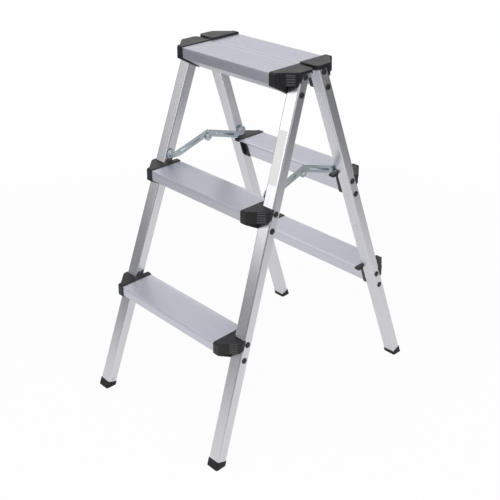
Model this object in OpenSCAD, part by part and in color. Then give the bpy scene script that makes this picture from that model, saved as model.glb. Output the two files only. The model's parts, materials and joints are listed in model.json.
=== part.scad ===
// Folding double-sided step ladder with three treads on each side.
// Origin: floor centre. X runs across the ladder, Y from the front frame to the rear one, Z up.
// Every piece is drawn once, for the front right quarter, and mirrored to its place.

/* [Overall size] */
// Height of the platform surface
platform_height = 680; // [650:1:720]
// Height of the middle treads
middle_height = 460; // [450:1:480]
// Height of the bottom treads
bottom_height = 236; // [220:1:260]
// Outside width of each frame at the floor
floor_width = 364; // [340:1:400]
// Outside width of each frame at platform height
platform_width = 296; // [280:1:320]
// Lean of each frame from upright, when open
lean = 19.46; // [18:0.01:21]

/* [Stiles] */
// Width of the tube across the ladder
stile_w = 25.6; // [24:0.1:28]
// Depth of the tube
stile_d = 20; // [19:0.1:22]
// Wall of the tube
stile_wall = 1.3; // [1:0.1:2]
// Corner radius of the tube
stile_round = 2.4; // [2.1:0.1:3]
// Gap between the front and rear tubes when folded flat
fold_gap = 24.2; // [23:0.1:28]

/* [Treads] */
// How far a tread reaches ahead of the stiles
nose_reach = 39.4; // [36:0.1:42]
// Height of the tread's front face
nose_h = 19.5; // [17:0.1:22]
// Depth of the keel, the lowest corner of the section
keel_h = 42.5; // [38:0.1:45]
// Distance from the front edge to the back web, at the top
web_reach = 53; // [50:0.5:56]
// Wall of the hollow section
tread_wall = 1.6; // [1.2:0.1:2.2]
// Thickness of the ledge behind the web
ledge_t = 2; // [1.5:0.1:3]
// Radius of the front edge
nose_round = 1.6; // [1:0.1:2]
// Spacing of the anti-slip grooves
groove_pitch = 3; // [2.6:0.1:6]
// Width of an anti-slip groove
groove_w = 0.6; // [0.4:0.1:1.5]
// Depth of an anti-slip groove
groove_depth = 0.25; // [0.15:0.05:0.7]
// Drop of the line along the front face
line_drop = 2.6; // [2:0.1:4]
// Height of the line along the front face
line_h = 1.6; // [1:0.1:3]
// Depth of the line along the front face
line_depth = 0.7; // [0.3:0.1:1]

/* [Connectors] */
// Wall of the collar round a tread's end
rim = 1.5; // [1.2:0.1:2]
// Length of tread that the collar covers
collar_w = 11.4; // [9:0.1:14]
// Least thickness of the base plate against the stile
base_t = 2; // [1.8:0.1:4]
// Height of the base plate behind the web
base_h = 38; // [34:0.5:40]
// Length of the spigot inside the tread
spigot_l = 14; // [8:1:25]
// Extra thickness of the collar under the front edge
belly = 1.4; // [0.5:0.1:2]
// How far the wing stands proud of the stile's side
wing_side = 2; // [1.5:0.1:3]
// Distance behind the front edge where the wing starts to widen
wing_start = 6; // [4:0.5:8]
// Height of the wing
wing_h = 22; // [20:0.5:24]
// Wall of the wing, which is open from below
wing_wall = 2.2; // [1.8:0.1:2.6]
// Length of the wing's lip along the stile's side
wing_lip = 1.5; // [1:0.1:3]
// Radius of the wing's lower rear corner
wing_round = 11; // [6:0.5:12]
// Number of grooves in the finger grip
grip_grooves = 4; // [2:1:4]
// Spacing of the grip grooves
grip_pitch = 4.4; // [4:0.1:5]
// Length of the grip
grip_l = 15; // [10:0.5:16]
// Depth of the grip grooves
grip_cut = 0.9; // [0.5:0.1:1.2]

/* [Top connectors] */
// How far the top plates reach down over the stile ends
plate_drop = 4; // [3.5:0.1:4.8]
// How much the rear top plates stand above the front ones
rear_rise = 2.3; // [1.5:0.1:3]
// Distance from the seam to the front plates
front_edge = 1.6; // [1:0.1:3]
// Distance from the seam to the rear plates
rear_edge = 3; // [1:0.1:4]
// Radius of a top plate's corner at the hinge
plate_round = 9; // [5:0.5:12]
// Gap between the front and rear treads at the seam
seam = 0.6; // [0.4:0.1:1]

/* [Hinge] */
// Drop of the hinge pin below the platform surface
pin_drop = 12; // [11.5:0.1:13]
// Diameter of the hinge pin
pin_d = 6; // [5:0.1:7]
// Radius of a knuckle
knuckle_r = 6.6; // [6:0.1:7]
// Width of a knuckle
knuckle_w = 5; // [4:0.1:6]

/* [Rivets] */
// Diameter of a connector rivet's head
rivet_head_d = 11.4; // [9:0.1:13]
// Height of a connector rivet's head
rivet_head_h = 2.4; // [1.5:0.1:3]
// Diameter of a connector rivet's shank
rivet_d = 5; // [4:0.1:6]
// Drop of the upper rivet below the tread surface
rivet_drop = 9.7; // [8:0.1:12]
// Distance between the two rivets of a connector
rivet_gap = 30; // [26:0.5:30]

/* [Braces] */
// Height of the brace pivots above the middle treads
brace_rise = 16; // [14:0.5:30]
// Height of the knee above the brace pivots
knee_rise = 11.5; // [9:0.5:14]
// Height of the brace strip
strip_h = 13.4; // [12:0.1:16]
// Slope of the strip
strip_slope = 17.2; // [15:0.1:19]
// Height of the strip's top above the knee rivet
strip_top = 15; // [12:0.5:16]
// Thickness of the strip
strip_t = 2; // [1.5:0.1:2.5]
// Radius of the eye at the stile
eye_r = 9.5; // [8:0.1:10]
// Radius of the eye at the knee
knee_eye_r = 8; // [7:0.1:9]
// Diameter of the pivot rivets
pivot_d = 6; // [5:0.1:7]

/* [Feet] */
// Wall of the boot round the tube
boot_wall = 1.3; // [1:0.1:2]
// Thickness of the sole
sole_t = 3.5; // [3:0.1:5]
// Height of the boot's lower side
boot_h = 6; // [5:0.5:9]
// Length of the plug inside the tube
plug_l = 22; // [18:1:30]

/* [Fits] */
// Gap between pieces that are fixed to each other
seat_gap = 0.1; // [0.05:0.01:0.2]
// Radial clearance of a pin in its bore
pin_gap = 0.05; // [0.02:0.01:0.09]
// Gap between pieces that move past each other
move_gap = 0.3; // [0.25:0.05:0.4]

/* [Hidden] */
$fn = 64;
plastic = "#1b1c1e";
alloy = "#c3c5ca";
zinc = "#a9b8ba";

LEVELS = [bottom_height, middle_height, platform_height];
TOP = 2;

// Frame geometry. n is the distance from the hinge pin square to the frame, s the distance along it.
side_slope = (floor_width - platform_width) / 2 / platform_height;
side_turn = atan(side_slope * cos(lean));
pin_z = platform_height - pin_drop;
near_n = fold_gap / 2;
mid_n = near_n + stile_d / 2;
out_n = near_n + stile_d;
stile_x = floor_width / 2 - side_slope * (pin_z + mid_n * sin(lean)) - stile_w / cos(side_turn);
far = 1000;

function inner_x(z) = floor_width / 2 - side_slope * z - stile_w / cos(side_turn);
function stile_y(z) = -(out_n / cos(lean) + (pin_z - z) * tan(lean));
function nose_y(z) = stile_y(z) - nose_reach;
function along(n, z) = (pin_z + n * sin(lean) - z) / cos(lean);
function down_stile(z) = along(mid_n, z) / cos(side_turn);

// Tread section, in distance behind the front edge and height above the tread surface
tread_depth = -nose_y(platform_height) - seam / 2;
keel_x = web_reach - keel_h * tan(lean);
near_x = nose_reach + stile_d / cos(lean);
BOX = [[0, 0], [0, -nose_h], [keel_x, -keel_h], [web_reach, 0]];
function outline(extra) = [[0, 0], [0, -nose_h - extra], [keel_x, -keel_h],
                           [web_reach - ledge_t * tan(lean), -ledge_t], [tread_depth, -ledge_t],
                           [tread_depth, 0]];

function unit(v) = v / norm(v);
function normal(a, b) = [unit(b - a)[1], -unit(b - a)[0]];
// Moves every edge of a counter-clockwise outline outwards by w
function shifted(points, w) = [
    for (i = [0:len(points) - 1])
        let (p = points[i],
             before = normal(points[(i + len(points) - 1) % len(points)], p),
             after = normal(p, points[(i + 1) % len(points)]))
        p + w * (before + after) / (1 + before * after)
];
function tread_end(z) = inner_x(z) - base_t - seat_gap;
function collar_x(z) = inner_x(z) - collar_w;

// Wing and top plate in plan: along the front, out at 45 degrees, then back along the stile
wing_w = stile_w + wing_side;
function plan(z, x0, back) = let (x = inner_x(z), y = nose_y(z) + wing_start) [
    [x0, nose_y(z) - rim], [x + 0.5, nose_y(z) - rim], [x + 2, y],
    [x + wing_w - 2.5, y + wing_w - 4.5], [x + wing_w, y + wing_w - 0.5], [x + wing_w, back], [x0, back]
];

// Top plates
plate_z = platform_height - plate_drop;
function plate_top(rear) = platform_height + rim + (rear ? rear_rise : 0);

// Hinge
knuckle_pitch = knuckle_w + move_gap;
knuckle_x = inner_x(pin_z) - 1.6 * knuckle_w;
pin_head_t = 1.2;

// Braces
brace_height = middle_height + brace_rise;
pivot_s = down_stile(brace_height);
half_span = (mid_n / cos(lean) + (pin_z - brace_height) * tan(lean));
pivot_head_t = 1.4;
washer_t = 1;
rivet_bite = 1.2;

// Boots
boot_s = along(near_n - boot_wall, boot_h) / cos(side_turn);
boot_rivet_d = 4;
boot_rivet_up = 8;

ENDS = ["front", "rear"];
SIDES = ["left", "right"];
STEPS = ["bottom", "middle", "top"];
QUARTERS = [for (e = ENDS) for (s = SIDES) [e, s]];
function named(q, what) = str(q[0], "_", q[1], "_", what);

// ---- Placing ----

module flip(axis, on) {
    if (on) mirror(axis) children();
    else children();
}

// From the front right quarter to any quarter
module quarter(q) {
    flip([0, 1, 0], q[0] == "rear") flip([1, 0, 0], q[1] == "left") children();
}

// Frame plane: origin at the hinge pin, y = -n, z = -s
module in_frame() {
    translate([0, 0, pin_z]) rotate([-lean, 0, 0]) children();
}

// Right stile: x = distance outwards from its inner side face
module on_stile() {
    in_frame() translate([stile_x, 0, 0]) rotate([0, -side_turn, 0]) children();
}

// Tread section coordinates, extruded along X
module across(z, x0, x1) {
    translate([x0, nose_y(z), z]) rotate([90, 0, 90]) linear_extrude(x1 - x0) children();
}

module above(z) {
    translate([-far, -far, z]) cube([2 * far, 2 * far, far]);
}

module below(z) {
    translate([-far, -far, z - far]) cube([2 * far, 2 * far, far]);
}

// ---- Small shapes ----

module rounded(w, d, r) {
    translate([r, 0]) square([w - 2 * r, d]);
    translate([0, r]) square([w, d - 2 * r]);
    for (x = [r, w - r]) for (y = [r, d - r]) translate([x, y]) circle(r);
}

// What rounding a corner at the origin takes away from a shape that lies in +X, +Y
module corner_cut(r) {
    difference() {
        translate([-1, -1]) square(r + 1);
        translate([r, r]) circle(r);
    }
}

// Rod along X
module rod(x0, x1, d) {
    translate([x0, 0, 0]) rotate([0, 90, 0]) cylinder(d = d, h = x1 - x0);
}

// Low dome on a flat face, pointing along X
module dome(d, h) {
    rotate([0, 90, 0]) {
        cylinder(d = d, h = h / 3);
        translate([0, 0, h / 3]) cylinder(d1 = d, d2 = d * 0.6, h = h * 2 / 3);
    }
}

// ---- Stiles ----

// The tube's outside, as one long solid, grown by g all round
module stile_envelope(g = 0) {
    on_stile() translate([-g, -out_n - g, -far])
        linear_extrude(far + platform_height)
            rounded(stile_w + 2 * g, stile_d + 2 * g, stile_round + g);
}

// Everything outwards of the stile's inner side face
module beyond_stile() {
    on_stile() translate([-seat_gap, -far / 2, -far]) cube([far, far, 2 * far]);
}

module at_brace() {
    on_stile() translate([0, -mid_n, -pivot_s]) children();
}

module at_boot_rivet() {
    on_stile() translate([0, -mid_n, boot_rivet_up - boot_s]) children();
}

module at_rivets(z) {
    for (d = [0, rivet_gap])
        on_stile() translate([0, -mid_n, -down_stile(z - rivet_drop) - stile_w * sin(side_turn) - d])
            children();
}

module stile() {
    difference() {
        stile_envelope();
        on_stile() translate([stile_wall, stile_wall - out_n, -far])
            linear_extrude(2 * far)
                rounded(stile_w - 2 * stile_wall, stile_d - 2 * stile_wall, stile_round - stile_wall);
        above(plate_z - seat_gap);
        below(sole_t);
        for (z = LEVELS) at_rivets(z) rod(-1, stile_w + 1, rivet_d + 2 * seat_gap);
        at_brace() rod(-1, 2 * stile_wall, pivot_d + 2 * seat_gap);
        at_boot_rivet() rod(-1, 2 * stile_wall, boot_rivet_d + 2 * seat_gap);
    }
}

// ---- Treads ----

module tread_section() {
    count = floor((tread_depth - 4 * groove_pitch) / groove_pitch);
    difference() {
        polygon(outline(0));
        polygon(shifted(BOX, -tread_wall));
        for (i = [0:count])
            translate([2 * groove_pitch + i * groove_pitch - groove_w / 2, -groove_depth])
                square([groove_w, 1]);
        translate([line_depth - 5, -line_drop - line_h]) square([5, line_h]);
        mirror([0, 1]) corner_cut(nose_round);
    }
}

module tread(z) {
    color(alloy) across(z, -tread_end(z), tread_end(z)) tread_section();
}

// ---- Connectors ----

// Hollow wing in front of the stile, open from below, with a finger grip on its slanting side
module wing(z) {
    x = inner_x(z);
    outline = plan(z, x - 2, 0);
    difference() {
        translate([0, 0, z - wing_h]) linear_extrude(wing_h + rim) polygon(outline);
        translate([0, 0, z - far]) linear_extrude(far + rim - wing_wall) polygon(shifted(outline, -wing_wall));
        stile_envelope(seat_gap);
        in_frame() translate([-far, wing_lip - out_n, -far]) cube(2 * far);
        across(z, x + wing_w / 2, x + 2 * wing_w)
            translate([nose_reach - wing_h * tan(lean) + wing_lip / cos(lean), -wing_h])
                mirror([1, 0]) corner_cut(wing_round);
        translate([x + 2, nose_y(z) + wing_start, z - 2.6]) rotate([0, 0, 45])
            for (i = [0:grip_grooves - 1])
                translate([wing_w / 2, -1, -(i + 0.5) * grip_pitch])
                    cube([grip_l, 1 + grip_cut, grip_pitch / 2]);
    }
}

// Collar round the tread's end, with the base plate that lies on the stile
module socket(z, behind) {
    difference() {
        union() {
            difference() {
                across(z, collar_x(z), inner_x(z) + 6) intersection() {
                    polygon(shifted(outline(belly), rim));
                    translate([-far, -far]) square([far + behind, 2 * far]);
                }
                across(z, 0, tread_end(z) + seat_gap) polygon(shifted(outline(0), seat_gap));
            }
            across(z, tread_end(z) - spigot_l, inner_x(z) + 6)
                polygon(shifted(BOX, -tread_wall - seat_gap));
            across(z, tread_end(z) + seat_gap, inner_x(z) + 6)
                polygon([[keel_x, -keel_h], [near_x - base_h * tan(lean), -base_h], [near_x, rim],
                         [keel_x, rim]]);
        }
        beyond_stile();
    }
}

// Plate over a stile's end, as wide as the wing
module top_plate(rear) {
    edge = rear ? -rear_edge : -front_edge;
    side = inner_x(platform_height) + wing_w;
    difference() {
        translate([0, 0, plate_z]) linear_extrude(plate_top(rear) - plate_z) difference() {
            polygon(plan(platform_height, collar_x(platform_height), edge));
            translate([side, edge]) mirror([1, 0]) mirror([0, 1]) corner_cut(plate_round);
        }
        across(platform_height, 0, tread_end(platform_height) + seat_gap)
            polygon(shifted(outline(0), seat_gap));
    }
}

// Hinge knuckles that hang from a top plate, with their bores
module knuckles(rear) {
    edge = rear ? rear_edge : front_edge;
    for (i = rear ? [1, 3] : [0, 2])
        translate([knuckle_x + i * knuckle_pitch, 0, pin_z]) difference() {
            union() {
                rod(0, knuckle_w, 2 * knuckle_r);
                translate([0, -knuckle_r - 2, 0]) cube([knuckle_w, knuckle_r + 2 - edge, plate_z - pin_z + 1]);
            }
            rod(-1, knuckle_w + 1, pin_d + 2 * pin_gap);
        }
}

module connector(step, rear) {
    z = LEVELS[step];
    color(plastic) difference() {
        union() {
            socket(z, step == TOP ? tread_depth : tread_depth + rim);
            wing(z);
            if (step == TOP) {
                top_plate(rear);
                knuckles(rear);
            }
        }
        across(z, collar_x(z) - 1, inner_x(z) + rim + nose_round)
            translate([-rim, rim + (step == TOP && rear ? rear_rise : 0)])
                mirror([0, 1]) corner_cut(rim + nose_round);
        at_rivets(z) {
            rod(-rivet_bite - seat_gap, stile_w / 2, rivet_d + 2 * seat_gap);
            rod(stile_w / 2, stile_w + 5, rivet_head_d + 1);
        }
    }
}

// ---- Fasteners ----

module rivets() {
    color(plastic) for (z = LEVELS) at_rivets(z) {
        rod(-rivet_bite, stile_w + 1, rivet_d);
        translate([stile_w + seat_gap, 0, 0]) dome(rivet_head_d, rivet_head_h);
    }
}

module foot_rivet() {
    color(zinc) at_boot_rivet() {
        rod(-1, stile_wall + 1.5, boot_rivet_d);
        translate([-seat_gap, 0, 0]) mirror([1, 0, 0]) dome(boot_rivet_d + 2, 1.2);
    }
}

module hinge_pin() {
    length = 4 * knuckle_pitch;
    color(zinc) translate([knuckle_x, 0, pin_z]) {
        rod(-move_gap, length, pin_d);
        rod(-move_gap - pin_head_t, -move_gap, pin_d + 4);
        rod(length, length + pin_head_t, pin_d + 4);
    }
}

// ---- Feet ----

module foot() {
    color(plastic) difference() {
        union() {
            difference() {
                on_stile() translate([-boot_wall, -out_n - boot_wall, -boot_s - 60])
                    linear_extrude(60)
                        rounded(stile_w + 2 * boot_wall, stile_d + 2 * boot_wall, stile_round + boot_wall);
                difference() {
                    stile_envelope(seat_gap);
                    below(sole_t - seat_gap);
                }
            }
            difference() {
                on_stile() translate([stile_wall + seat_gap, stile_wall + seat_gap - out_n, -boot_s - 60])
                    linear_extrude(60 + plug_l - boot_h)
                        rounded(stile_w - 2 * (stile_wall + seat_gap), stile_d - 2 * (stile_wall + seat_gap),
                                stile_round - stile_wall - seat_gap);
                below(1);
            }
        }
        below(0);
        at_boot_rivet() rod(0, stile_wall + 1.5 + seat_gap, boot_rivet_d + 2 * seat_gap);
    }
}

// ---- Braces ----

// Distance of a brace strip's near face from the stile. The rear strip runs inside the front one.
function strip_x(rear) = washer_t + move_gap + (rear ? strip_t + 2 * move_gap : 0);

module brace_strip() {
    drop = tan(strip_slope);
    height = strip_h / cos(strip_slope);
    end = half_span - move_gap / 2;
    top = knee_rise + strip_top;
    heel = 2 * eye_r;
    polygon([[0, 0], [eye_r, top - drop * (end - eye_r)], [end, top], [end, top - height],
             [heel, top - height - drop * (end - heel)], [0, 1 - eye_r]]);
}

module at_knee() {
    translate([0, half_span, knee_rise]) children();
}

// A strip lies against the stile at one end and meets its partner at the knee
module brace(rear) {
    color(zinc) at_brace() rotate([lean, 0, 0]) difference() {
        translate([-strip_x(rear) - strip_t, 0, 0]) union() {
            rotate([90, 0, 90]) linear_extrude(strip_t) brace_strip();
            rod(0, strip_t, 2 * eye_r);
            at_knee() rod(0, strip_t, 2 * knee_eye_r);
        }
        rod(-20, 1, pivot_d + 2 * pin_gap);
        at_knee() rod(-20, 1, pivot_d + 2 * seat_gap);
    }
}

// Half of the knee rivet: the front strip holds its tail, the rear strip its head
module knee_rivet(rear) {
    x = strip_x(rear);
    color(zinc) at_brace() rotate([lean, 0, 0]) at_knee() {
        if (rear) {
            rod(-x - strip_t - 0.2, -x, pivot_d);
            translate([-x - strip_t - seat_gap, 0, 0]) mirror([1, 0, 0]) dome(pivot_d + 4, pivot_head_t);
        } else {
            rod(-x - strip_t, 0.2 - x, pivot_d);
            translate([seat_gap - x, 0, 0]) dome(pivot_d + 4, washer_t);
        }
    }
}

module brace_rivet(rear) {
    x = strip_x(rear) + strip_t + move_gap;
    color(zinc) at_brace() {
        rod(-x, stile_wall + 1, pivot_d);
        translate([-x, 0, 0]) mirror([1, 0, 0]) dome(pivot_d + 5, pivot_head_t);
    }
}

module brace_spacer(rear) {
    color(zinc) at_brace() difference() {
        rod(-strip_x(rear) + move_gap, -seat_gap, pivot_d + 7);
        rod(-far, 1, pivot_d + 2 * seat_gap);
    }
}

// ---- Assembly ----

for (e = ENDS) for (step = [0:TOP])
    quarter([e, "right"]) tread(LEVELS[step]);

for (q = QUARTERS) for (step = [0:TOP])
    quarter(q) connector(step, q[0] == "rear");

for (q = QUARTERS) {
    quarter(q) stile();
    quarter(q) foot();
    quarter(q) rivets();
    quarter(q) brace(q[0] == "rear");
    quarter(q) brace_rivet(q[0] == "rear");
    quarter(q) brace_spacer(q[0] == "rear");
    quarter(q) knee_rivet(q[0] == "rear");
}

for (e = ENDS) union() {
    quarter([e, "left"]) foot_rivet();
    quarter([e, "right"]) foot_rivet();
}

for (s = SIDES) quarter(["front", s]) hinge_pin();
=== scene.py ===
import json
import math
import bmesh
import bpy
from mathutils import Matrix, Vector

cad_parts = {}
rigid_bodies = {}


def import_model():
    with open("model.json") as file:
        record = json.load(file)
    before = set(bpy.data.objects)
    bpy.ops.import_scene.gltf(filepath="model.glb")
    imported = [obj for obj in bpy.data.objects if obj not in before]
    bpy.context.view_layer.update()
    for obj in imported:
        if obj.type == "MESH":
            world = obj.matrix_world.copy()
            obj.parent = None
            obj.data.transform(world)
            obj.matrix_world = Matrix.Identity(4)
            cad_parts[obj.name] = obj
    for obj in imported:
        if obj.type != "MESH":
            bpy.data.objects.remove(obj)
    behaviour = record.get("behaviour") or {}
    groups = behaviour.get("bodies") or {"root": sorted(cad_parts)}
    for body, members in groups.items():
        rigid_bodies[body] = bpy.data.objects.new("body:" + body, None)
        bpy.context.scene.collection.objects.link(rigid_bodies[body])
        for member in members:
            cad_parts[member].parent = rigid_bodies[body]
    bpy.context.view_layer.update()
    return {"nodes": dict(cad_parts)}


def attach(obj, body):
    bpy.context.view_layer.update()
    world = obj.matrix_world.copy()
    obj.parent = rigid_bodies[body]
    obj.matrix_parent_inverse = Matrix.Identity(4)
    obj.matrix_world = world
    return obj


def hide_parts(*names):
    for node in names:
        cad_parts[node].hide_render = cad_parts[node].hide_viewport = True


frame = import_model()
NODES = frame["nodes"]
MM = 0.001

# ---------------------------------------------------------------- sizes

# How far a frame leans back from upright, and a stile turns sideways.
LEAN = math.radians(19.46)
SIDE_TURN = math.radians(2.7)

# Mesh points within this of a flat face belong to it.
FLAT_SLACK = 0.05 * MM

# Half the width of the plain band at the platform's seam, and how wide its painted shade fades.
SEAM_HALF = 5.7 * MM
SEAM_FADE = 0.6 * MM

# Rivets: points this near an end belong to that end. A domed shank stops short of the plain one's tail.
END_SLACK = 0.6 * MM
SHANK_GAP = 0.45 * MM

# A rivet's dimple: its depth by the head's rise, and its floor and rim by the head's radius.
DIMPLE_SHARE = 0.15
DIMPLE_FLAT = 0.2
DIMPLE_RIM = 0.42

# A bead's edge rises through this angle, short of a right angle so that a flat is left on top.
BEAD_SWEEP = 1.4
BEAD_RINGS = 5
BEAD_ARC = 8

# Pressed bead of a brace strip, and where it starts below the strip's high end.
STRIP_SLOPE = math.radians(17.2)
STRIP_HEIGHT = 13.4 * MM
BEAD_WIDTH = 4.5 * MM
BEAD_RISE = 0.5 * MM
BEAD_LENGTH = 52 * MM
BEAD_START = 22 * MM

# Depth of a grip groove, and the ribs beside the grooves: width by a groove's, and height.
GRIP_CUT = 0.9 * MM
RIB_SHARE = 0.95
RIB_RISE = 0.45 * MM

# Label: size, corner radius, height of its middle above the ground, shift from the stile's middle.
LABEL_WIDTH = 19 * MM
LABEL_HEIGHT = 94 * MM
LABEL_THICK = 0.12 * MM
LABEL_RADIUS = 1.5 * MM
LABEL_Z = 542 * MM
LABEL_SHIFT = 1.5 * MM
CORNER_STEPS = 8

# Camera and lamps.
CAMERA_PLACE = (1.070442, -1.031398, 1.084379)
CAMERA_HEADING = math.radians(46.33)
CAMERA_DIP = math.radians(28.33)
CAMERA_ROLL = math.radians(-0.356)
LAMP_AIM = Vector((0, 0, 0.34))
LAMP_DISTANCE = 2.6

# The floor greys between these distances. Shares of even white in it: what the eye sees near the
# ladder, where the rest keeps the shadow, and what the metal sees there.
FLOOR_NEAR = 0.3
FLOOR_FAR = 2.0
FLOOR_PLAIN = 0.95
FLOOR_MIRRORED = 0.5
FLOOR_SIZE = 30

# Where the world's shade stops rising, as a share of straight up.
SKY_TOP = 0.22


# ---------------------------------------------------------------- shader helpers


def new_material(name, base, rough, metal=0.0):
    """A material and its Principled BSDF."""
    material = bpy.data.materials.new(name)
    material.use_nodes = True
    bsdf = material.node_tree.nodes["Principled BSDF"]
    bsdf.inputs["Base Color"].default_value = (*base, 1)
    bsdf.inputs["Roughness"].default_value = rough
    bsdf.inputs["Metallic"].default_value = metal
    return material, bsdf


def put(tree, kind, **settings):
    """Adds a node. Settings are node properties, or socket values given as in_0=..., in_Name=..."""
    node = tree.nodes.new(kind)
    for key, value in settings.items():
        if key.startswith("in_"):
            key = key[3:].replace("_", " ")
            node.inputs[int(key) if key.isdigit() else key].default_value = value
        else:
            setattr(node, key, value)
    return node


def math_node(tree, operation, a, b=None):
    """The result of an operation on one or two values, each a socket or a number."""
    node = put(tree, "ShaderNodeMath", operation=operation)
    for socket, value in zip(node.inputs, (a, b)):
        if isinstance(value, bpy.types.NodeSocket):
            tree.links.new(value, socket)
        elif value is not None:
            socket.default_value = value
    return node.outputs[0]


def new_group(name, inputs, outputs):
    """An empty node group. Inputs are (name, type, value), outputs are (name, type)."""
    tree = bpy.data.node_groups.new(name, "ShaderNodeTree")
    for label, kind, value in inputs:
        socket = tree.interface.new_socket(name=label, in_out="INPUT", socket_type="NodeSocket" + kind)
        socket.default_value = value
    for label, kind in outputs:
        tree.interface.new_socket(name=label, in_out="OUTPUT", socket_type="NodeSocket" + kind)
    return tree, put(tree, "NodeGroupInput").outputs, put(tree, "NodeGroupOutput").inputs


def place_group(material, tree, **values):
    """Adds a node group to a material, with values for its inputs."""
    node = put(material.node_tree, "ShaderNodeGroup", node_tree=tree)
    for key, value in values.items():
        node.inputs[key].default_value = value
    return node


def build_edges():
    """Rounds a sharp edge in the shading and marks its edges, in patches, for a paler colour that is
    partly rubbed wear and partly a painted highlight.
    """
    tree, given, result = new_group(
        "rounded_edges",
        [("Radius", "Float", 0.5 * MM)],
        [("Normal", "Vector"), ("Wear", "Float")])
    link = tree.links.new
    bevel = put(tree, "ShaderNodeBevel", samples=6)
    link(given["Radius"], bevel.inputs["Radius"])
    link(bevel.outputs[0], result["Normal"])
    flat = put(tree, "ShaderNodeNewGeometry")
    dot = put(tree, "ShaderNodeVectorMath", operation="DOT_PRODUCT")
    link(bevel.outputs[0], dot.inputs[0])
    link(flat.outputs["Normal"], dot.inputs[1])
    edge = put(tree, "ShaderNodeMapRange", in_1=0.995, in_2=0.85)
    link(dot.outputs["Value"], edge.inputs[0])
    place = put(tree, "ShaderNodeTexCoord")
    noise = put(tree, "ShaderNodeTexNoise", in_Scale=140, in_Detail=3)
    link(place.outputs["Object"], noise.inputs["Vector"])
    patches = put(tree, "ShaderNodeMapRange", in_1=0.35, in_2=0.65)
    link(noise.outputs["Fac"], patches.inputs[0])
    kept = math_node(tree, "SUBTRACT", 1, math_node(tree, "MULTIPLY", 0.5, patches.outputs[0]))
    link(math_node(tree, "MULTIPLY", edge.outputs[0], kept), result["Wear"])
    return tree


def build_grain():
    """Drawn lines along an extrusion. Scale is one over the size of a streak along each axis."""
    tree, given, result = new_group(
        "extrusion_grain",
        [("Vector", "Vector", (0, 0, 0)), ("Scale", "Vector", (1, 1, 1))],
        [("Lines", "Float"), ("Tone", "Float")])
    link = tree.links.new
    for output, factor, detail in (("Lines", 1, 3), ("Tone", 0.07, 2)):
        size = put(tree, "ShaderNodeVectorMath", operation="MULTIPLY")
        link(given["Vector"], size.inputs[0])
        link(given["Scale"], size.inputs[1])
        noise = put(tree, "ShaderNodeTexNoise", in_Scale=factor, in_Detail=detail, in_Roughness=0.6)
        link(size.outputs[0], noise.inputs["Vector"])
        spread = put(tree, "ShaderNodeMapRange", in_1=0.3, in_2=0.7)
        link(noise.outputs["Fac"], spread.inputs[0])
        link(spread.outputs[0], result[output])
    return tree


def build_skin():
    """The fine pitted skin of a moulding and its cloudy sheen."""
    tree, given, result = new_group(
        "moulded_skin", [("Pitch", "Float", 1 * MM)], [("Height", "Float"), ("Cloud", "Float")])
    link = tree.links.new
    place = put(tree, "ShaderNodeTexCoord")
    inverse = math_node(tree, "DIVIDE", 1, given["Pitch"])
    for output, factor, detail in (("Height", 1, 2), ("Cloud", 0.03, 4)):
        noise = put(tree, "ShaderNodeTexNoise", in_Detail=detail)
        link(place.outputs["Object"], noise.inputs["Vector"])
        link(math_node(tree, "MULTIPLY", inverse, factor), noise.inputs["Scale"])
        link(noise.outputs["Fac"], result[output])
    return tree


EDGES = build_edges()
GRAIN = build_grain()
SKIN = build_skin()


def blend_colour(material, bsdf, mask, low, high):
    """Base colour between two colours, by a mask."""
    tree = material.node_tree
    mix = put(tree, "ShaderNodeMix", data_type="RGBA")
    mix.inputs["A"].default_value = (*low, 1)
    mix.inputs["B"].default_value = (*high, 1)
    tree.links.new(mask, mix.inputs["Factor"])
    tree.links.new(mix.outputs["Result"], bsdf.inputs["Base Color"])


def spread_value(material, socket, mask, low, high):
    """A socket's value between two values, by a mask."""
    tree = material.node_tree
    span = put(tree, "ShaderNodeMapRange", in_3=low, in_4=high)
    tree.links.new(mask, span.inputs[0])
    tree.links.new(span.outputs[0], socket)


def raise_surface(material, bsdf, height, distance, normal):
    """Bump on top of a normal."""
    tree = material.node_tree
    bump = put(tree, "ShaderNodeBump", in_Distance=distance)
    tree.links.new(height, bump.inputs["Height"])
    tree.links.new(normal, bump.inputs["Normal"])
    tree.links.new(bump.outputs[0], bsdf.inputs["Normal"])


# ---------------------------------------------------------------- materials


def extrusion_vector(material, leaning):
    """Object coordinates, turned so that a stile's length lies along Z in every quarter."""
    tree = material.node_tree
    place = put(tree, "ShaderNodeTexCoord").outputs["Object"]
    if not leaning:
        return place
    mirrored = put(tree, "ShaderNodeVectorMath", operation="ABSOLUTE")
    tree.links.new(place, mirrored.inputs[0])
    turn = put(tree, "ShaderNodeMapping", vector_type="POINT", in_Rotation=(-LEAN, SIDE_TURN, 0))
    tree.links.new(mirrored.outputs[0], turn.inputs["Vector"])
    return turn.outputs[0]


def alloy(name, base, dark, leaning, rough):
    """Drawn aluminium with fine lines along the extrusion."""
    material, bsdf = new_material(name, base, rough, 1.0)
    pitch, length = 0.7 * MM, 160 * MM
    scale = (1 / pitch, 1 / pitch, 1 / length) if leaning else (1 / length, 1 / pitch, 1 / pitch)
    grain = place_group(material, GRAIN, Scale=scale)
    material.node_tree.links.new(extrusion_vector(material, leaning), grain.inputs["Vector"])
    edges = place_group(material, EDGES, Radius=0.3 * MM)
    blend_colour(material, bsdf, grain.outputs["Tone"], dark, base)
    spread_value(material, bsdf.inputs["Roughness"], grain.outputs["Lines"], rough - 0.03, rough + 0.03)
    raise_surface(material, bsdf, grain.outputs["Lines"], 0.003 * MM, edges.outputs["Normal"])
    return material


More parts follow.
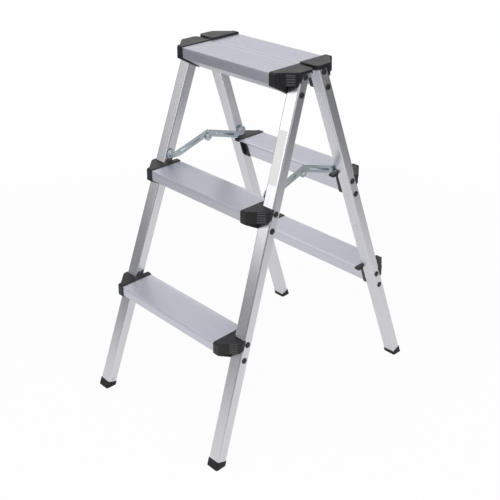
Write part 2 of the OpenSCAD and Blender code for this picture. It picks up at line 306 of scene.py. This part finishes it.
def paint_seam_shade(material, shade):
    """Paints shade on the plain strips on both sides of the platform's seam, which lies along X, by
    darkening their colour.
    """
    tree = material.node_tree
    bsdf = tree.nodes["Principled BSDF"]
    place = put(tree, "ShaderNodeSeparateXYZ")
    tree.links.new(put(tree, "ShaderNodeTexCoord").outputs["Object"], place.inputs[0])
    away = math_node(tree, "ABSOLUTE", place.outputs["Y"])
    fade = put(tree, "ShaderNodeMapRange",
               in_1=SEAM_HALF, in_2=SEAM_HALF + SEAM_FADE, in_3=shade, in_4=1)
    tree.links.new(away, fade.inputs[0])
    # Painted shade: the base colour is scaled down near the seam.
    painted_shade = put(tree, "ShaderNodeVectorMath", operation="SCALE")
    tree.links.new(bsdf.inputs["Base Color"].links[0].from_socket, painted_shade.inputs[0])
    tree.links.new(fade.outputs[0], painted_shade.inputs["Scale"])
    tree.links.new(painted_shade.outputs[0], bsdf.inputs["Base Color"])


def moulded(name, base, edge_wear_and_highlight, rough, pitch):
    """Black plastic or rubber with a pitted skin, paler along its edges: partly rubbed wear, partly a
    painted highlight.
    """
    material, bsdf = new_material(name, base, rough)
    skin = place_group(material, SKIN, Pitch=pitch)
    edges = place_group(material, EDGES, Radius=1.3 * MM)
    # Painted highlight and wear: the edges' colour is lightened towards the second colour.
    blend_colour(material, bsdf, edges.outputs["Wear"], base, edge_wear_and_highlight)
    spread_value(material, bsdf.inputs["Roughness"], skin.outputs["Cloud"], rough - 0.08, rough + 0.08)
    raise_surface(material, bsdf, skin.outputs["Height"], 0.05 * MM, edges.outputs["Normal"])
    return material


def plated(name, thin, thick):
    """Zinc plate, cloudy where it is thin."""
    material, bsdf = new_material(name, thick, 0.34, 1.0)
    skin = place_group(material, SKIN, Pitch=0.5 * MM)
    edges = place_group(material, EDGES, Radius=1.6 * MM)
    blend_colour(material, bsdf, skin.outputs["Cloud"], thin, thick)
    spread_value(material, bsdf.inputs["Roughness"], skin.outputs["Cloud"], 0.24, 0.44)
    raise_surface(material, bsdf, skin.outputs["Height"], 0.01 * MM, edges.outputs["Normal"])
    return material


def vinyl():
    """The matt white film of a label, a little uneven."""
    material, bsdf = new_material("white_vinyl", (0.9, 0.9, 0.89), 0.4)
    skin = place_group(material, SKIN, Pitch=1.2 * MM)
    edges = place_group(material, EDGES, Radius=0.1 * MM)
    blend_colour(material, bsdf, skin.outputs["Cloud"], (0.89, 0.89, 0.875), (0.93, 0.93, 0.92))
    raise_surface(material, bsdf, skin.outputs["Height"], 0.02 * MM, edges.outputs["Normal"])
    return material


STILE = alloy("stile_alloy", (0.72, 0.72, 0.76), (0.69, 0.69, 0.73), leaning=True, rough=0.26)
TREAD = alloy("tread_alloy", (0.665, 0.665, 0.742), (0.645, 0.645, 0.72), leaning=False, rough=0.34)
# Painted shade: the tread colour of the plain strips by the platform's seam is darkened to 0.9.
paint_seam_shade(TREAD, shade=0.9)
PLASTIC = moulded("black_nylon", (0.006, 0.006, 0.008), (0.07, 0.07, 0.074), rough=0.42, pitch=0.6 * MM)
# Painted highlight: the grip ribs are coloured paler than the connectors, standing in for light caught on
# the ribs.
GRIP = moulded("rubbed_nylon", (0.075, 0.075, 0.08), (0.11, 0.11, 0.11), rough=0.4, pitch=0.6 * MM)
RUBBER = moulded("black_rubber", (0.006, 0.006, 0.0065), (0.015, 0.015, 0.015), rough=0.7, pitch=0.8 * MM)
RIVET = moulded("black_rivet", (0.012, 0.012, 0.013), (0.05, 0.05, 0.052), rough=0.3, pitch=0.4 * MM)
ZINC = plated("blue_zinc", (0.46, 0.54, 0.575), (0.70, 0.765, 0.79))
STEEL = plated("bright_zinc", (0.55, 0.56, 0.57), (0.72, 0.73, 0.74))
LABEL = vinyl()


# ---------------------------------------------------------------- pieces


def add_piece(name, mesh, material, body, slot, *nodes):
    """Adds a mesh that rides on a body and stands for CAD nodes."""
    piece = bpy.data.objects.new(name, mesh)
    bpy.context.scene.collection.objects.link(piece)
    piece.data.materials.clear()
    piece.data.materials.append(material)
    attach(piece, body)
    if nodes:
        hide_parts(*nodes)
    return piece


def apply_modifiers(piece):
    """Turns a piece and its modifiers into a plain mesh."""
    graph = bpy.context.evaluated_depsgraph_get()
    mesh = bpy.data.meshes.new_from_object(piece.evaluated_get(graph))
    piece.modifiers.clear()
    old, piece.data = piece.data, mesh
    bpy.data.meshes.remove(old)


def islands(node):
    """The separate solids of a CAD node, each as a list of its points."""
    work = bmesh.new()
    work.from_mesh(NODES[node].data)
    bmesh.ops.remove_doubles(work, verts=work.verts, dist=0.001 * MM)
    seen, found = set(), []
    for first in work.verts:
        if first in seen:
            continue
        seen.add(first)
        reached = [first]
        for vertex in reached:
            for edge in vertex.link_edges:
                other = edge.other_vert(vertex)
                if other not in seen:
                    seen.add(other)
                    reached.append(other)
        found.append([v.co.copy() for v in reached])
    work.free()
    return found


def vertices(node):
    """The points of a CAD node's mesh."""
    return [v.co.copy() for v in NODES[node].data.vertices]


def centre(points):
    """The middle of the box round some points."""
    low = Vector([min(p[i] for p in points) for i in range(3)])
    high = Vector([max(p[i] for p in points) for i in range(3)])
    return (low + high) / 2


def fastener(points, outwards):
    """Outer end, direction and length of a rivet whose head points outwards (1) or inwards (-1)."""
    reach = [p.x * outwards * (1 if centre(points).x > 0 else -1) for p in points]
    head = centre([p for p, x in zip(points, reach) if x > max(reach) - END_SLACK])
    tail = centre([p for p, x in zip(points, reach) if x < min(reach) + END_SLACK])
    return head, (head - tail).normalized(), (head - tail).length


def new_geometry_tree(name, inputs):
    """An empty geometry tree. Inputs are (name, type, value), besides the geometry itself."""
    tree = bpy.data.node_groups.new(name, "GeometryNodeTree")
    tree.interface.new_socket(name="Geometry", in_out="INPUT", socket_type="NodeSocketGeometry")
    for label, kind, value in inputs:
        socket = tree.interface.new_socket(name=label, in_out="INPUT", socket_type="NodeSocket" + kind)
        if value is not None:
            socket.default_value = value
    tree.interface.new_socket(name="Geometry", in_out="OUTPUT", socket_type="NodeSocketGeometry")
    return tree, put(tree, "NodeGroupInput").outputs, put(tree, "NodeGroupOutput").inputs[0]


def grow(piece, tree, **values):
    """Runs a node tree on a piece with the given inputs and keeps the result as a plain mesh."""
    modifier = piece.modifiers.new(tree.name, "NODES")
    modifier.node_group = tree
    for item in tree.interface.items_tree:
        if item.in_out == "INPUT" and item.name in values:
            modifier[item.identifier] = values[item.name]
    apply_modifiers(piece)


def build_rivet_tree():
    """A domed head with a dimple, on a shank, at every point, turned along the point's axis."""
    tree, given, result = new_geometry_tree("domed_rivets", [
        ("Head", "Float", 11 * MM), ("Rise", "Float", 2 * MM), ("Dimple", "Float", 0.3 * MM),
        ("Shank", "Float", 5 * MM), ("Length", "Float", 28 * MM), ("Finish", "Material", None)])
    link = tree.links.new
    ball = put(tree, "GeometryNodeMeshUVSphere", in_Segments=32, in_Rings=20, in_Radius=1)
    place = put(tree, "GeometryNodeInputPosition")
    parts = put(tree, "ShaderNodeSeparateXYZ")
    link(place.outputs[0], parts.inputs[0])
    x, y, z = [parts.outputs[axis] for axis in "XYZ"]
    below = math_node(tree, "LESS_THAN", z, -0.01)
    half = put(tree, "GeometryNodeDeleteGeometry", domain="FACE")
    link(ball.outputs["Mesh"], half.inputs["Geometry"])
    link(below, half.inputs["Selection"])
    square = math_node(tree, "ADD", math_node(tree, "MULTIPLY", x, x), math_node(tree, "MULTIPLY", y, y))
    radius = math_node(tree, "POWER", square, 0.5)
    dip = put(tree, "ShaderNodeMapRange", interpolation_type="SMOOTHSTEP",
              in_1=DIMPLE_FLAT, in_2=DIMPLE_RIM, in_3=1, in_4=0)
    link(radius, dip.inputs[0])
    reach = math_node(tree, "MULTIPLY", given["Head"], 0.5)
    up = math_node(tree, "SUBTRACT", math_node(tree, "MULTIPLY", z, given["Rise"]),
                   math_node(tree, "MULTIPLY", dip.outputs[0], given["Dimple"]))
    joined = put(tree, "ShaderNodeCombineXYZ")
    link(math_node(tree, "MULTIPLY", x, reach), joined.inputs[0])
    link(math_node(tree, "MULTIPLY", y, reach), joined.inputs[1])
    link(up, joined.inputs[2])
    dome = put(tree, "GeometryNodeSetPosition")
    link(half.outputs[0], dome.inputs["Geometry"])
    link(joined.outputs[0], dome.inputs["Position"])
    smooth = put(tree, "GeometryNodeSetShadeSmooth")
    link(dome.outputs[0], smooth.inputs["Geometry"])
    shank = put(tree, "GeometryNodeMeshCylinder", in_Vertices=24)
    link(math_node(tree, "MULTIPLY", given["Shank"], 0.5), shank.inputs["Radius"])
    link(given["Length"], shank.inputs["Depth"])
    sink = put(tree, "ShaderNodeCombineXYZ")
    link(math_node(tree, "MULTIPLY", given["Length"], -0.5), sink.inputs[2])
    lowered = put(tree, "GeometryNodeTransform")
    link(shank.outputs["Mesh"], lowered.inputs["Geometry"])
    link(sink.outputs[0], lowered.inputs["Translation"])
    plate = put(tree, "GeometryNodeMeshCircle", fill_type="TRIANGLE_FAN", in_Vertices=32)
    link(reach, plate.inputs["Radius"])
    under = put(tree, "GeometryNodeFlipFaces")
    link(plate.outputs[0], under.inputs[0])
    rivet = put(tree, "GeometryNodeJoinGeometry")
    for part in (smooth, lowered, under):
        link(part.outputs[0], rivet.inputs[0])
    axis = put(tree, "GeometryNodeInputNamedAttribute", data_type="FLOAT_VECTOR", in_Name="axis")
    turned = put(tree, "FunctionNodeAlignRotationToVector", axis="Z")
    link(axis.outputs["Attribute"], turned.inputs["Vector"])
    spread = put(tree, "GeometryNodeInstanceOnPoints")
    link(given["Geometry"], spread.inputs["Points"])
    link(rivet.outputs[0], spread.inputs["Instance"])
    link(turned.outputs[0], spread.inputs["Rotation"])
    real = put(tree, "GeometryNodeRealizeInstances")
    link(spread.outputs[0], real.inputs[0])
    finish = put(tree, "GeometryNodeSetMaterial")
    link(real.outputs[0], finish.inputs["Geometry"])
    link(given["Finish"], finish.inputs["Material"])
    link(finish.outputs[0], result)
    return tree


RIVETS = build_rivet_tree()


def body_of(node):
    """The name of the body that a CAD node rides on."""
    return NODES[node].parent.name.split(":")[1]


def make_rivets(name, nodes, outwards, head, rise, shank, finish, slot):
    """Domed rivets in place of those of the CAD nodes, which all ride on one body."""
    found = [fastener(points, outwards) for node in nodes for points in islands(node)]
    mesh = bpy.data.meshes.new(name)
    mesh.from_pydata([end - rise * axis for end, axis, _ in found], [], [])
    axes = mesh.attributes.new("axis", "FLOAT_VECTOR", "POINT")
    for row, (_, axis, _) in zip(axes.data, found):
        row.vector = axis
    piece = add_piece(name, mesh, finish, body_of(nodes[0]), slot, *nodes)
    grow(piece, RIVETS, Head=head, Rise=rise, Dimple=DIMPLE_SHARE * rise, Shank=shank,
         Length=found[0][2] - rise - SHANK_GAP, Finish=finish)


def stadium(middle, along, across, out, length, width, rise):
    """Points and faces of a low bead with round ends, lying on a flat face."""
    points, faces = [], []
    count = 2 * (BEAD_ARC + 1)
    for ring in range(BEAD_RINGS + 1):
        lift = BEAD_SWEEP * ring / BEAD_RINGS
        radius, height = width / 2 * math.cos(lift), rise * math.sin(lift)
        for step in range(count):
            end = 1 if step <= BEAD_ARC else -1
            turn = math.pi * (step if end > 0 else step - 1) / BEAD_ARC - math.pi / 2
            spot = along * (end * (length - width) / 2 + radius * math.cos(turn))
            spot += across * radius * math.sin(turn)
            points.append(middle + spot + out * height)
    for ring in range(BEAD_RINGS):
        for step in range(count):
            a, b = ring * count + step, ring * count + (step + 1) % count
            faces.append((a, b, b + count, a + count))
    faces.append(tuple(reversed(range(count))))
    faces.append(tuple(range(BEAD_RINGS * count, (BEAD_RINGS + 1) * count)))
    return points, faces


def smooth_mesh(name, shapes):
    """One smooth-shaded mesh of several shapes, each given as points and faces."""
    points, faces = [], []
    for more, rings in shapes:
        faces += [tuple(i + len(points) for i in ring) for ring in rings]
        points += more
    mesh = bpy.data.meshes.new(name)
    mesh.from_pydata(points, [], faces)
    for polygon in mesh.polygons:
        polygon.use_smooth = True
    return mesh


def make_beads(node):
    """A pressed bead along each face of a brace strip."""
    points = vertices(node)
    flat = max(NODES[node].data.polygons, key=lambda f: f.area).normal.copy()
    top = max(points, key=lambda p: p.z)
    towards = 1 if "front" in node else -1
    along = Vector((0, towards * math.cos(STRIP_SLOPE), math.sin(STRIP_SLOPE)))
    along = (along - flat * along.dot(flat)).normalized()
    across = along.cross(flat).normalized()
    if across.z < 0:
        across.negate()
    sides = [p.dot(flat) for p in points]
    start = top - across * STRIP_HEIGHT / 2 - along * BEAD_START
    shapes = []
    for face, out in ((max(sides), flat), (min(sides), -flat)):
        middle = start - along * BEAD_LENGTH / 2
        middle += flat * (face - middle.dot(flat))
        side = across if along.cross(across).dot(out) > 0 else -across
        shapes.append(stadium(middle, along, side, out, BEAD_LENGTH, BEAD_WIDTH, BEAD_RISE))
    add_piece(node + "_beads", smooth_mesh(node + "_beads", shapes), ZINC, body_of(node), "zinc_steel")


def make_grips(end):
    """Rounded ribs on the lands between the grip grooves of one frame's connectors."""
    shapes = []
    up = Vector((0, 0, 1))
    for node in [n for n in NODES if n.startswith(end) and n.endswith("connector")]:
        mesh = NODES[node].data
        side = 1 if centre(vertices(node)).x > 0 else -1
        out = Vector((side, -1 if end == "front" else 1, 0)).normalized()
        along = Vector((-out.y, out.x, 0))
        slanting = [f for f in mesh.polygons if f.normal.dot(out) > 0.99]
        level = max(f.center.dot(out) for f in slanting)
        cut = [mesh.vertices[i].co for f in slanting for i in f.vertices
               if abs(level - GRIP_CUT - f.center.dot(out)) < FLAT_SLACK]
        heights = sorted({round(p.z, 5) for p in cut})
        reach = [p.dot(along) for p in cut]
        length = max(reach) - min(reach)
        base = out * level + along * (min(reach) + max(reach)) / 2
        groove = heights[1] - heights[0]
        lands = [(a + b) / 2 for a, b in zip(heights[1::2], heights[2::2])]
        width = RIB_SHARE * groove
        for height in [heights[0] - groove / 2, *lands, heights[-1] + groove / 2]:
            shapes.append(stadium(base + up * height, along, up, out, length, width, RIB_RISE))
    name = end + "_grip_ribs"
    add_piece(name, smooth_mesh(name, shapes), GRIP, end + "_frame", "black_plastic")


def make_label():
    """A blank white label on the front face of the front right stile."""
    out = Vector((0, -math.cos(LEAN), math.sin(LEAN)))
    points = vertices("front_right_stile")
    level = max(p.dot(out) for p in points)
    face = sorted((p for p in points if p.dot(out) > level - FLAT_SLACK), key=lambda p: p.z)
    low = (min(face[:6], key=lambda p: p.x) + max(face[:6], key=lambda p: p.x)) / 2
    high = (min(face[-6:], key=lambda p: p.x) + max(face[-6:], key=lambda p: p.x)) / 2
    along = (high - low).normalized()
    across = along.cross(out).normalized()
    if across.x < 0:
        across.negate()
    middle = low + along * (LABEL_Z - low.z) / along.z - across * LABEL_SHIFT
    points = []
    for sx, sz, start in ((1, 1, 0), (-1, 1, 90), (-1, -1, 180), (1, -1, 270)):
        for step in range(CORNER_STEPS + 1):
            turn = math.radians(start + 90 * step / CORNER_STEPS)
            spot = across * (sx * (LABEL_WIDTH / 2 - LABEL_RADIUS) + LABEL_RADIUS * math.cos(turn))
            spot += along * (sz * (LABEL_HEIGHT / 2 - LABEL_RADIUS) + LABEL_RADIUS * math.sin(turn))
            points.append(middle + spot)
    total = len(points)
    raised = [p + out * LABEL_THICK for p in points]
    faces = [tuple(range(total, 2 * total)), tuple(reversed(range(total)))]
    faces += [(i, (i + 1) % total, total + (i + 1) % total, total + i) for i in range(total)]
    mesh = bpy.data.meshes.new("blank_label")
    mesh.from_pydata(points + raised, [], faces)
    work = bmesh.new()
    work.from_mesh(mesh)
    bmesh.ops.recalc_face_normals(work, faces=work.faces)
    work.to_mesh(mesh)
    work.free()
    add_piece("blank_label", mesh, LABEL, "front_frame", None)


def use(node, material):
    """Gives a CAD node its material."""
    node.data.materials.clear()
    node.data.materials.append(material)


FINISHES = {"tread": TREAD, "stile": STILE, "connector": PLASTIC, "foot": RUBBER}
for name, node in NODES.items():
    use(node, FINISHES.get(name.split("_")[-1], ZINC))

for end in ("front", "rear"):
    sides = [f"{end}_left", f"{end}_right"]
    make_rivets(f"{end}_domed_rivets", [s + "_rivets" for s in sides], 1,
                head=11.4 * MM, rise=2.4 * MM, shank=5 * MM, finish=RIVET, slot="black_steel")
    make_rivets(f"{end}_domed_brace_rivets", [s + "_brace_rivet" for s in sides], -1,
                head=11 * MM, rise=1.4 * MM, shank=6 * MM, finish=STEEL, slot="zinc_steel")
    make_rivets(f"{end}_domed_foot_rivets", [f"{end}_foot_rivets"], -1,
                head=6 * MM, rise=1.2 * MM, shank=4 * MM, finish=STEEL, slot="zinc_steel")
    knee_side, knee_rise = (1, 1 * MM) if end == "front" else (-1, 1.4 * MM)
    for s in sides:
        make_rivets(f"{s}_domed_knee_rivet", [s + "_knee_rivet"], knee_side,
                    head=10 * MM, rise=knee_rise, shank=6 * MM, finish=STEEL, slot="zinc_steel")
        make_beads(s + "_brace")
    make_grips(end)
make_label()


# ---------------------------------------------------------------- camera, light, floor

scene = bpy.context.scene
camera_data = bpy.data.cameras.new("camera")
camera_data.lens = 61.32
camera_data.sensor_width = 36
camera = bpy.data.objects.new("camera", camera_data)
camera.location = CAMERA_PLACE
turn = Matrix.Rotation(CAMERA_HEADING, 3, "Z")
tilt = Matrix.Rotation(math.pi / 2 - CAMERA_DIP, 3, "X")
roll = Matrix.Rotation(CAMERA_ROLL, 3, "Z")
camera.rotation_euler = (turn @ tilt @ roll).to_euler()
scene.collection.objects.link(camera)
scene.camera = camera
scene.view_settings.view_transform = "Standard"


def show_white(tree, plain, share, output):
    """Mixes a plain shader with an even white, by the share that each kind of ray is given."""
    white = put(tree, "ShaderNodeEmission", in_Color=(1, 1, 1, 1), in_Strength=1)
    mix = put(tree, "ShaderNodeMixShader")
    tree.links.new(share, mix.inputs[0])
    tree.links.new(plain, mix.inputs[1])
    tree.links.new(white.outputs[0], mix.inputs[2])
    tree.links.new(mix.outputs[0], output)


def make_floor():
    """White to the eye, with a faint shadow.

    The metal sees it white near the ladder and greyer far away.
    """
    material, bsdf = new_material("floor", (0.9, 0.9, 0.9), 0.9)
    tree = material.node_tree
    place = put(tree, "ShaderNodeTexCoord")
    reach = put(tree, "ShaderNodeVectorMath", operation="LENGTH")
    tree.links.new(place.outputs["Object"], reach.inputs[0])
    fade = put(tree, "ShaderNodeMapRange", interpolation_type="SMOOTHSTEP",
               in_1=FLOOR_NEAR, in_2=FLOOR_FAR)
    tree.links.new(reach.outputs["Value"], fade.inputs[0])
    blend_colour(material, bsdf, fade.outputs[0], (0.85, 0.85, 0.85), (0.3, 0.3, 0.31))
    ray = put(tree, "ShaderNodeLightPath")
    plain = put(tree, "ShaderNodeMapRange", in_3=FLOOR_PLAIN, in_4=1)
    tree.links.new(fade.outputs[0], plain.inputs[0])
    seen = math_node(tree, "MULTIPLY", ray.outputs["Is Camera Ray"], plain.outputs[0])
    near = math_node(tree, "MULTIPLY", math_node(tree, "SUBTRACT", 1, fade.outputs[0]), FLOOR_MIRRORED)
    mirror = math_node(tree, "MAXIMUM", ray.outputs["Is Glossy Ray"], ray.outputs["Is Transmission Ray"])
    mirrored = math_node(tree, "MULTIPLY", mirror, near)
    share = math_node(tree, "ADD", seen, mirrored)
    show_white(tree, bsdf.outputs[0], share, tree.nodes["Material Output"].inputs["Surface"])
    bpy.ops.mesh.primitive_plane_add(size=FLOOR_SIZE, location=(0, 0, 0))
    floor = bpy.context.object
    floor.name = "floor"
    floor.data.materials.append(material)


def make_world(horizon, zenith):
    """A dim studio, paler overhead than at the horizon. The camera sees it white."""
    world = bpy.data.worlds.new("world")
    scene.world = world
    world.use_nodes = True
    tree = world.node_tree
    place = put(tree, "ShaderNodeTexCoord")
    height = put(tree, "ShaderNodeSeparateXYZ")
    tree.links.new(place.outputs["Generated"], height.inputs[0])
    rise = put(tree, "ShaderNodeMapRange", interpolation_type="SMOOTHSTEP", in_1=0, in_2=SKY_TOP)
    tree.links.new(height.outputs["Z"], rise.inputs[0])
    mix = put(tree, "ShaderNodeMix", name="sky", data_type="RGBA")
    mix.inputs["A"].default_value = (horizon, horizon, horizon, 1)
    mix.inputs["B"].default_value = (zenith, zenith, zenith, 1)
    tree.links.new(rise.outputs[0], mix.inputs["Factor"])
    white = put(tree, "ShaderNodeMix", data_type="RGBA", in_B=(1, 1, 1, 1))
    tree.links.new(put(tree, "ShaderNodeLightPath").outputs["Is Camera Ray"], white.inputs["Factor"])
    tree.links.new(mix.outputs["Result"], white.inputs["A"])
    tree.links.new(white.outputs["Result"], tree.nodes["Background"].inputs["Color"])


def lamp(name, azimuth, elevation, size, power):
    """A square soft box that looks at the ladder's middle. Azimuth 0 is in front, 90 on the right."""
    around, up = math.radians(azimuth), math.radians(elevation)
    offset = Vector((math.sin(around) * math.cos(up), -math.cos(around) * math.cos(up), math.sin(up)))
    data = bpy.data.lights.new(name, "AREA")
    data.size = size
    data.energy = power
    box = bpy.data.objects.new(name, data)
    box.location = LAMP_AIM + LAMP_DISTANCE * offset
    box.rotation_euler = (-offset).to_track_quat("-Z", "Y").to_euler()
    scene.collection.objects.link(box)


make_floor()
make_world(horizon=0.18, zenith=0.59)
lamp("key", azimuth=35, elevation=48, size=1.2, power=22)
lamp("front_panel", azimuth=-31, elevation=13, size=0.9, power=4.1)
lamp("front_left", azimuth=-50, elevation=12, size=0.9, power=0.5)
lamp("back_left", azimuth=-132, elevation=26, size=1.4, power=2.6)
lamp("back_right", azimuth=130, elevation=30, size=1.2, power=2.5)
lamp("right_low", azimuth=95, elevation=10, size=1.0, power=5)
